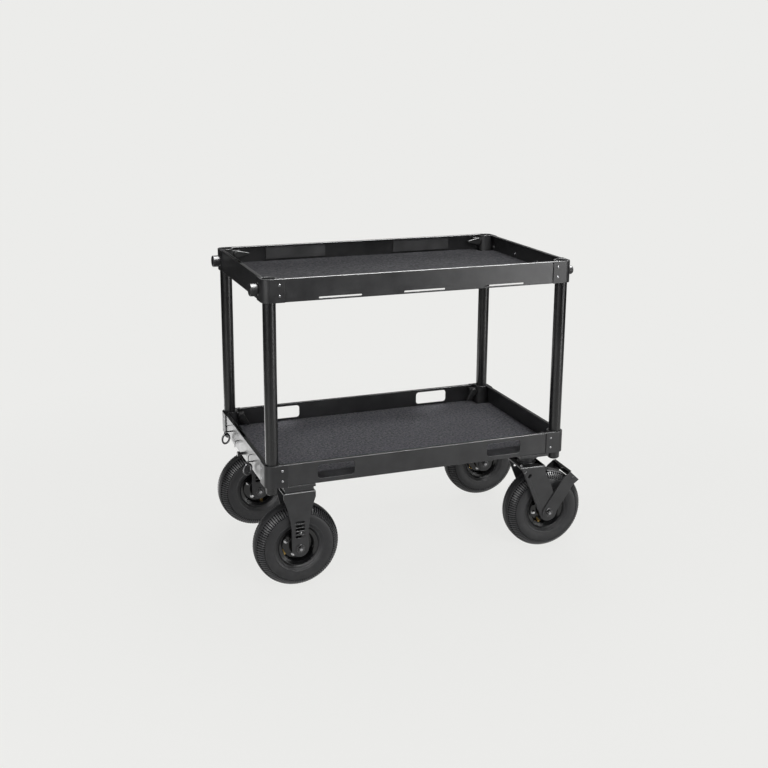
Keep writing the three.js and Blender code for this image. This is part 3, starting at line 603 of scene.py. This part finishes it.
# Sorts tyre faces into wall, rib (painted highlight) and groove (painted shade)
def rubber_kind(centre):
    if not RIB_IN < reach_of(centre) < SHOULDER_OUT or abs(centre.y) <= SHOULDER_SIDE:
        return WALL
    return RIB if on_rib_turn(centre) else GROOVE


def tyre_master():
    piece = turned("tyre", mirrored([BEAD_EDGE] + TYRE_SECTION), 2 * RIB_COUNT, closed=True)
    editing(piece)
    for wanted, rise in ((on_rib, RIB_RISE), (on_block, BLOCK_RISE)):
        pick_faces(piece, wanted)
        bpy.ops.mesh.extrude_region_shrink_fatten(TRANSFORM_OT_shrink_fatten={"value": rise})
    leave()
    close_up(piece)
    smooth(piece, 28)
    return piece, [rubber_kind(face.center) for face in piece.data.polygons]


# Rims
RIM_SECTION = [
    (0.0078, 0.0440), (0.0165, 0.0440), (0.0172, 0.0452), (0.0200, 0.0452), (0.0210, 0.0442),
    (0.0210, 0.0180), (0.0222, 0.0140), (0.0250, 0.0112), (0.0300, 0.0098), (0.0350, 0.0086),
    (0.0415, 0.0078), (0.0452, 0.0084), (0.0478, 0.0110), (0.0486, 0.0150), (0.0486, 0.0262),
    (0.0496, 0.0286), (0.0530, 0.0302), (0.0566, 0.0312), (0.0590, 0.0322), (0.0606, 0.0318),
    (0.0610, 0.0304), (0.0604, 0.0293), (0.0515, 0.0293),
]
HUB_FROM = 0.04  # the section's places past this belong to the hub's end


def rim_master(longer):
    """A rim whose hub reaches further out by so much on each side."""
    half = [(r, y + (longer if y > HUB_FROM else 0)) for r, y in RIM_SECTION]
    piece = turned("rim", mirrored(half), 96, closed=True)
    smooth(piece, 32)
    return piece


def dome_master(name, radius, height):
    piece = round_bar(20, radius, height)
    piece.name = name
    editing(piece)
    pick_top(piece)
    bpy.ops.mesh.bevel(offset=height * 0.9, segments=4, affect="EDGES", profile=0.5)
    leave()
    smooth(piece, 50)
    return piece


def hex_master(name, radius, height, washer_radius, washer):
    base = round_bar(24, washer_radius, washer)
    editing(base)
    pick_top(base)
    bpy.ops.mesh.inset(thickness=washer_radius * 0.12)
    leave()
    eased(base, washer * 0.25)
    head = round_bar(6, radius, height, washer)
    editing(head)
    pick_top(head)
    bpy.ops.mesh.inset(thickness=radius * 0.3)
    bpy.ops.mesh.extrude_region_move(TRANSFORM_OT_translate={"value": (0, 0, height * 0.25)})
    leave()
    eased(head, radius * 0.08)
    return one_of(name, [base, head])


def valve_master():
    section = [(0.0001, 0.0), (0.0052, 0.0), (0.0058, 0.004), (0.0040, 0.0065), (0.0034, 0.010),
               (0.0038, 0.0105), (0.0038, 0.018), (0.0030, 0.0195), (0.0001, 0.0195)]
    piece = turned("valve", section, 20)
    smooth(piece, 35)
    return piece


# Wheels: name, centre, turn, rim bolt angles, valve angle
SWIVEL_TURN = -3.0
WHEELS = (
    ("front_fixed", Vector((-0.413133, -0.236965, 0.130)), 0.0, (162, 72, -18, -108), -148),
    ("back_fixed", Vector((-0.413133, 0.243035, 0.130)), 0.0, (150, 60, -30, -120), -75),
    ("front_swivel", Vector((0.418788, -0.237000, 0.130)), SWIVEL_TURN, (-153, -63, 27, 117), -105),
    ("back_swivel", Vector((0.418788, 0.237000, 0.130)), SWIVEL_TURN, (170, 80, -10, -100), -140),
)
TYRE_TURN = 7  # degrees for each letter of the wheel's name, so that no two tyres stand alike
BOLT_REACH, BOLT_SEAT = 0.0345, 0.0085
VALVE_REACH, VALVE_SEAT, VALVE_LEAN, VALVE_OUT = 0.0478, 0.0200, 0.55, 0.016
tyre_form, tyre_kinds = tyre_master()
rims = {"fixed": rim_master(0.0), "swivel": rim_master(0.0040)}
rim_bolt = hex_master("rim_bolt", 0.0052, 0.0045, 0.0068, 0.0012)
valve = valve_master()
for name, centre, turn, bolts, valve_at in WHEELS:
    body = name + "_wheel"
    place = stood(centre, turn)
    start = Matrix.Rotation(math.radians(TYRE_TURN * len(name)), 4, "Y")
    tyre = finished(copy_at(tyre_form, name + "_ribbed_tyre", place @ start), MATERIALS["tyre_rubber"],
                    body, "tyre_rubber", name + "_tyre")
    # Rib and groove faces get the painted highlight and painted shade copies of the rubber
    tyre.data.materials.append(RIB_PAINTED_HIGHLIGHT)
    tyre.data.materials.append(GROOVE_PAINTED_SHADE)
    tyre.data.polygons.foreach_set("material_index", tyre_kinds)
    rim = copy_at(rims[name.split("_")[1]], name + "_pressed_rim", place)
    finished(rim, MATERIALS["rim_gloss"], body, "rim_gloss", name + "_rim")
    spots = []
    for angle in bolts:
        x, z = (BOLT_REACH * f(math.radians(angle)) for f in (math.cos, math.sin))
        for side in (-1, 1):
            spots.append(place @ facing(x, side * BOLT_SEAT, z, (0, side, 0)))
    finished(set_out(rim_bolt, name + "_rim_bolts", spots), CHROME, body, "axle_steel")
    x, z = (VALVE_REACH * f(math.radians(valve_at)) for f in (math.cos, math.sin))
    spot = place @ facing(x, -VALVE_SEAT, z, (-x * VALVE_LEAN, -VALVE_OUT, -z * VALVE_LEAN))
    finished(copy_at(valve, name + "_valve", spot), BRASS, body, "axle_steel")
for master in (tyre_form, rim_bolt, valve, *rims.values()):
    drop(master)


# Polished caps in the heads of the axle bolts
AXLE_HEAD, CAP_SUNK = 0.0095, 0.0003
axle_cap = dome_master("axle_cap", 0.0048, 0.0012)
for name, centre, turn, bolts, valve_at in WHEELS:
    low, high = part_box(name + "_axle")
    skew = math.radians(turn)
    spots = []
    for side, reach in ((-1, centre.y - low.y), (1, high.y - centre.y)):
        out = (reach - AXLE_HEAD * abs(math.sin(skew))) / math.cos(skew) - CAP_SUNK
        spots.append(stood(centre, turn) @ facing(0, side * out, 0, (0, side, 0)))
    finished(set_out(axle_cap, name + "_axle_caps", spots), RIVET, body_of[name + "_axle"], "axle_steel")
drop(axle_cap)


# Rivets on the flanges of the corner blocks
MIDDLE_X, MIDDLE_Y = -0.025133, 0.003035
OUT_X, OUT_Y = 0.490, 0.295
TIERS = (("upper", 0.880, "upper_tray"), ("lower", 0.330, "base"))
RIVET_IN = 0.050
RIVET_RISES = (0.0195, 0.0505)
rivet = dome_master("rivet", 0.0036, 0.0017)
for tier, low, body in TIERS:
    places = []
    for end in (-1, 1):
        for side in (-1, 1):
            for rise in RIVET_RISES:
                places.append(facing(MIDDLE_X + end * (OUT_X - RIVET_IN), MIDDLE_Y + side * OUT_Y,
                                     low + rise, (0, side, 0)))
                places.append(facing(MIDDLE_X + end * OUT_X, MIDDLE_Y + side * (OUT_Y - RIVET_IN),
                                     low + rise, (end, 0, 0)))
    finished(set_out(rivet, tier + "_rivets", places), RIVET, body, "axle_steel")
drop(rivet)


# Seals under the swivel races, crown bolts and the bolts of the right end plate
SEAL_SECTION = [
    (0.0252, 0.0000), (0.0292, 0.0000), (0.0300, 0.0007), (0.0300, 0.0022), (0.0290, 0.0031),
    (0.0252, 0.0034),
]
KINGPIN_X, KINGPIN_Y = 0.360867, {"front": -0.233965, "back": 0.240035}
SEAL_HEIGHT, CROWN_TOP = 0.2904, 0.2900
CROWN_BOLT_X, CROWN_BOLT_Y = -0.0345, -0.0420
seal = turned("seal", SEAL_SECTION, 48, closed=True)
smooth(seal, 35)
crown_bolt = hex_master("crown_bolt", 0.0048, 0.0040, 0.0064, 0.0012)
for side_name, kingpin_y in KINGPIN_Y.items():
    kingpin = stood((KINGPIN_X, kingpin_y, 0), SWIVEL_TURN)
    laid_flat = Matrix.Translation((0, 0, SEAL_HEIGHT)) @ Matrix.Rotation(math.radians(90), 4, "X")
    finished(copy_at(seal, side_name + "_race_seal", kingpin @ laid_flat), RIVET, "base", "axle_steel")
    spot = kingpin @ facing(CROWN_BOLT_X, CROWN_BOLT_Y, CROWN_TOP, (0, 0, 1))
    finished(copy_at(crown_bolt, side_name + "_crown_bolt", spot), CHROME, side_name + "_swivel",
             "axle_steel")
END_PLATE_X, END_BOLT_Z, END_BOLT_YS = 0.459076, 0.9080, (-0.243, -0.080, 0.080, 0.243)
plate_bolt = dome_master("plate_bolt", 0.0048, 0.0024)
spots = [facing(END_PLATE_X, MIDDLE_Y + y, END_BOLT_Z, (-1, 0, 0)) for y in END_BOLT_YS]
finished(set_out(plate_bolt, "right_end_bolts", spots), RIVET, "upper_tray", "axle_steel")
for master in (seal, crown_bolt, plate_bolt):
    drop(master)


# Bent spring wires on the lower left plate
def bent_wire(name, radius, start, runs):
    """A round wire from start: runs of (direction, length), each joint rounded by a short chord."""
    places = [Vector(start)]
    for direction, length in runs:
        places.append(places[-1] + Vector(direction).normalized() * length)
    curve = bpy.data.curves.new(name, "CURVE")
    curve.dimensions = "3D"
    curve.bevel_depth = radius
    curve.bevel_resolution = 3
    curve.use_fill_caps = True
    line = curve.splines.new("BEZIER")
    line.bezier_points.add(len(places) - 1)
    for point, place in zip(line.bezier_points, places):
        point.co = place
        point.handle_left_type = point.handle_right_type = "AUTO"
    piece = bpy.data.objects.new(name, curve)
    bpy.context.scene.collection.objects.link(piece)
    only(piece)
    bpy.ops.object.convert(target="MESH")
    piece = bpy.context.object
    smooth(piece, 50)
    return piece


PLATE_X = -0.512324
WIRE_RADIUS = 0.0011
WIRE_STARTS = {
    "front_ring_wire": (-0.113965, 0.3780), "back_ring_wire": (0.180035, 0.3780),
    "latch_wire": (0.0600, 0.3650),
}
WIRE_RUNS = [((-1, -0.3, 0.1), 0.006), ((-0.6, -1, -0.1), 0.016), ((-0.25, -0.6, -1), 0.014)]
for wire_name, (y, z) in WIRE_STARTS.items():
    wire = bent_wire(wire_name, WIRE_RADIUS, (PLATE_X, y, z), WIRE_RUNS)
    finished(wire, DARK_WIRE, "base", "ring_steel")


# Carpet mats, cut round the corner blocks
PILE_CELL = 0.004
PILE_RISE, PILE_ROOM = 0.0011, 0.0008
CORNER_CUT = 0.052


def carpet_mat(tier, body, cloth):
    low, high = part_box(tier + "_carpet")
    length, width = high.x - low.x, high.y - low.y
    bpy.ops.object.select_all(action="DESELECT")
    bpy.ops.mesh.primitive_grid_add(
        x_subdivisions=round(length / PILE_CELL), y_subdivisions=round(width / PILE_CELL), size=1,
        location=((low.x + high.x) / 2, (low.y + high.y) / 2, high.z - PILE_ROOM))
    mat = bpy.context.object
    mat.scale = (length, width, 1)
    settle(mat)
    editing(mat)

    def at_corner(centre, normal):
        return (min(centre.x - low.x, high.x - centre.x) < CORNER_CUT
                and min(centre.y - low.y, high.y - centre.y) < CORNER_CUT)

    pick_faces(mat, at_corner)
    bpy.ops.mesh.delete(type="FACE")
    leave()
    only(mat)
    cloud = bpy.data.textures.new(tier + "_pile_height", "CLOUDS")
    cloud.noise_scale = 0.006
    lift = mat.modifiers.new("pile", "DISPLACE")
    lift.texture = cloud
    lift.texture_coords = "LOCAL"
    lift.strength = PILE_RISE
    lift.mid_level = 0.5
    bpy.ops.object.modifier_apply(modifier=lift.name)
    thick = mat.modifiers.new("backing", "SOLIDIFY")
    thick.thickness = high.z - low.z - PILE_ROOM
    thick.offset = -1
    bpy.ops.object.modifier_apply(modifier=thick.name)
    smooth(mat, 60)
    mat.name = tier + "_carpet_mat"
    finished(mat, cloth, body, "carpet", tier + "_carpet")


carpet_mat("upper", "upper_tray", UPPER_CARPET)
carpet_mat("lower", "base", MATERIALS["carpet"])


# Floor, backdrop and lights
BACKGROUND = (0.838, 0.838, 0.823)
FLOOR_RADIUS, FLOOR_DROP = 30, 0.0004
FADE_START, FADE_END = 0.8, 2.2
WALL_RADIUS, WALL_HEIGHT = 3.9, 4.2


def seen_directly(tree):
    """One for camera, glossy and transmission rays, zero for the rest."""
    path = tree.nodes.new("ShaderNodeLightPath")
    bent = sum_of(tree, "MAXIMUM", path.outputs["Is Glossy Ray"], path.outputs["Is Transmission Ray"])
    return sum_of(tree, "MAXIMUM", path.outputs["Is Camera Ray"], bent)


def shader_mix(tree, share, first, second):
    node = tree.nodes.new("ShaderNodeMixShader")
    tree.links.new(share, node.inputs[0])
    tree.links.new(first, node.inputs[1])
    tree.links.new(second, node.inputs[2])
    return node.outputs[0]


def plain_shader(tree, kind, colour, strength=None):
    node = tree.nodes.new(kind)
    node.inputs["Color"].default_value = (*colour, 1)
    if strength is not None:
        node.inputs["Strength"].default_value = strength
    return node.outputs[0]


def pale_floor():
    bpy.ops.object.select_all(action="DESELECT")
    bpy.ops.mesh.primitive_circle_add(
        vertices=96, radius=FLOOR_RADIUS, fill_type="NGON", location=(0, 0, -FLOOR_DROP))
    floor = bpy.context.object
    floor.name = "floor"
    material = bpy.data.materials.new("pale_floor")
    material.use_nodes = True
    tree = material.node_tree
    tree.nodes.clear()
    out = tree.nodes.new("ShaderNodeOutputMaterial")
    both = tree.nodes.new("ShaderNodeAddShader")
    matt = plain_shader(tree, "ShaderNodeBsdfDiffuse", (0.125, 0.125, 0.12))
    tree.links.new(matt, both.inputs[0])
    tree.links.new(plain_shader(tree, "ShaderNodeEmission", BACKGROUND, 0.905), both.inputs[1])
    place = tree.nodes.new("ShaderNodeTexCoord")
    length = tree.nodes.new("ShaderNodeVectorMath")
    length.operation = "LENGTH"
    tree.links.new(place.outputs["Object"], length.inputs[0])
    far = ramp(tree, length.outputs["Value"], FADE_START, FADE_END)
    plain = plain_shader(tree, "ShaderNodeEmission", BACKGROUND)
    fade = shader_mix(tree, far, both.outputs[0], plain)
    bounce = plain_shader(tree, "ShaderNodeBsdfDiffuse", (0.6, 0.6, 0.6))
    tree.links.new(shader_mix(tree, seen_directly(tree), bounce, fade), out.inputs["Surface"])
    floor.data.materials.append(material)


def pale_world():
    world = bpy.data.worlds.new("studio")
    bpy.context.scene.world = world
    world.use_nodes = True
    tree = world.node_tree
    tree.nodes.clear()
    out = tree.nodes.new("ShaderNodeOutputWorld")
    room = plain_shader(tree, "ShaderNodeBackground", (1, 1, 1), 0.07)
    seen = plain_shader(tree, "ShaderNodeBackground", BACKGROUND, 1.0)
    tree.links.new(shader_mix(tree, seen_directly(tree), room, seen), out.inputs["Surface"])


def soft_light(name, place, aim, size, power, shine_only=False):
    data = bpy.data.lights.new(name, "AREA")
    data.shape = "RECTANGLE"
    data.size, data.size_y = size
    data.energy = power
    light = bpy.data.objects.new(name, data)
    bpy.context.scene.collection.objects.link(light)
    turn = (Vector(aim) - Vector(place)).to_track_quat("-Z", "Y").to_matrix().to_4x4()
    light.matrix_world = Matrix.Translation(place) @ turn
    light.visible_camera = False
    light.visible_diffuse = not shine_only


def dark_surround():
    """Dark studio walls round the pale floor, seen only in reflections."""
    bpy.ops.object.select_all(action="DESELECT")
    bpy.ops.mesh.primitive_cylinder_add(
        vertices=64, radius=WALL_RADIUS, depth=WALL_HEIGHT, end_fill_type="NOTHING",
        location=(0, 0, WALL_HEIGHT / 2))
    wall = bpy.context.object
    wall.name = "dark_wall"
    editing(wall, "EDGE")
    mesh = bmesh.from_edit_mesh(wall.data)
    for edge in mesh.edges:
        edge.select_set(all(v.co.z < 0 for v in edge.verts))
    bmesh.update_edit_mesh(wall.data)
    bpy.ops.mesh.extrude_region_move(TRANSFORM_OT_translate={"value": (0, 0, 0.004)})
    bpy.ops.transform.resize(value=(0.62, 0.62, 1), center_override=(0, 0, 0))
    leave()
    settle(wall)
    material = bpy.data.materials.new("dark_wall")
    material.use_nodes = True
    shader = material.node_tree.nodes["Principled BSDF"]
    shader.inputs["Base Color"].default_value = (0.02, 0.02, 0.02, 1)
    shader.inputs["Roughness"].default_value = 1
    shader.inputs["Specular IOR Level"].default_value = 0
    wall.data.materials.append(material)
    wall.visible_camera = False
    wall.visible_diffuse = False
    wall.visible_shadow = False
    wall.visible_transmission = False


pale_floor()
pale_world()
dark_surround()
soft_light("top_light", (0.1, 0.2, 3.2), (0, 0, 0.6), (2.2, 1.5), 18)
soft_light("top_shine", (0.9, -0.2, 3.1), (0.9, -0.2, 0.6), (2.8, 2.0), 950, shine_only=True)
soft_light("key_light", (0.3, -3.1, 2.1), (0, 0, 0.5), (1.0, 0.9), 27)
soft_light("left_strip", (-2.35, -1.65, 0.64), (0, -0.1, 0.6), (0.4, 1.2), 24)
soft_light("right_strip", (1.55, -2.15, 0.64), (0.2, 0, 0.6), (0.6, 1.2), 9)
soft_light("plate_shine", (2.4, -3.0, 0.42), (0.4, -0.3, 0.9), (0.8, 0.6), 58, shine_only=True)
soft_light("left_shine", (-2.3, -1.45, 1.75), (0, -0.2, 0.2), (1.3, 1.0), 80, shine_only=True)
soft_light("back_light", (1.2, 3.0, 1.7), (0, 0, 0.8), (2.8, 1.0), 40)
soft_light("floor_glow", (-0.85, 1.05, 0.03), (-0.85, 1.05, 1.0), (0.8, 1.2), 6, shine_only=True)
soft_light("back_shine", (0.9, 3.1, 1.62), (0, 0, 0.9), (3.4, 0.75), 70, shine_only=True)

bpy.context.scene.view_settings.view_transform = "Standard"
